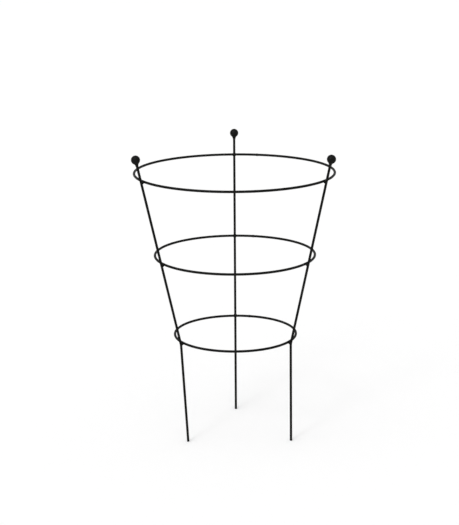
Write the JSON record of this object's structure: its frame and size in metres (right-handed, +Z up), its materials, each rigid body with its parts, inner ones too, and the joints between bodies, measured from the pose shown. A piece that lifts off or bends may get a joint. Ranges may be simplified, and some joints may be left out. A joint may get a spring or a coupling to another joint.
{
  "type": "plant support",
  "caption": "Conical wire plant support: stacked round hoops welded inside bent legs that end in ball finials above and stakes below.",
  "frame": {"origin": "on the hoops' axis, at the level of the stakes' cut ends", "axes": "+Z up along the hoops' axis, -Y the front as pictured, with the back leg at +Y; +X to the right"},
  "size_m": [0.405, 0.4267, 0.5992],
  "materials": {
    "coated_bar": "black powder coat on steel bar, low sheen",
    "coated_ball": "black powder coat on a turned steel ball, low sheen",
    "coated_weld": "black powder coat over a weld bead, low sheen"
  },
  "bodies": {
    "root": {"finial_back": "coated_ball", "finial_left": "coated_ball", "finial_right": "coated_ball", "leg_back": "coated_bar", "leg_left": "coated_bar", "leg_right": "coated_bar", "ring_bottom": "coated_bar", "ring_middle": "coated_bar", "ring_top": "coated_bar", "weld_bottom_back": "coated_weld", "weld_bottom_left": "coated_weld", "weld_bottom_right": "coated_weld", "weld_butt_bottom": "coated_weld", "weld_butt_middle": "coated_weld", "weld_butt_top": "coated_weld", "weld_middle_back": "coated_weld", "weld_middle_left": "coated_weld", "weld_middle_right": "coated_weld", "weld_top_back": "coated_weld", "weld_top_left": "coated_weld", "weld_top_right": "coated_weld"}
  },
  "joints": []
}
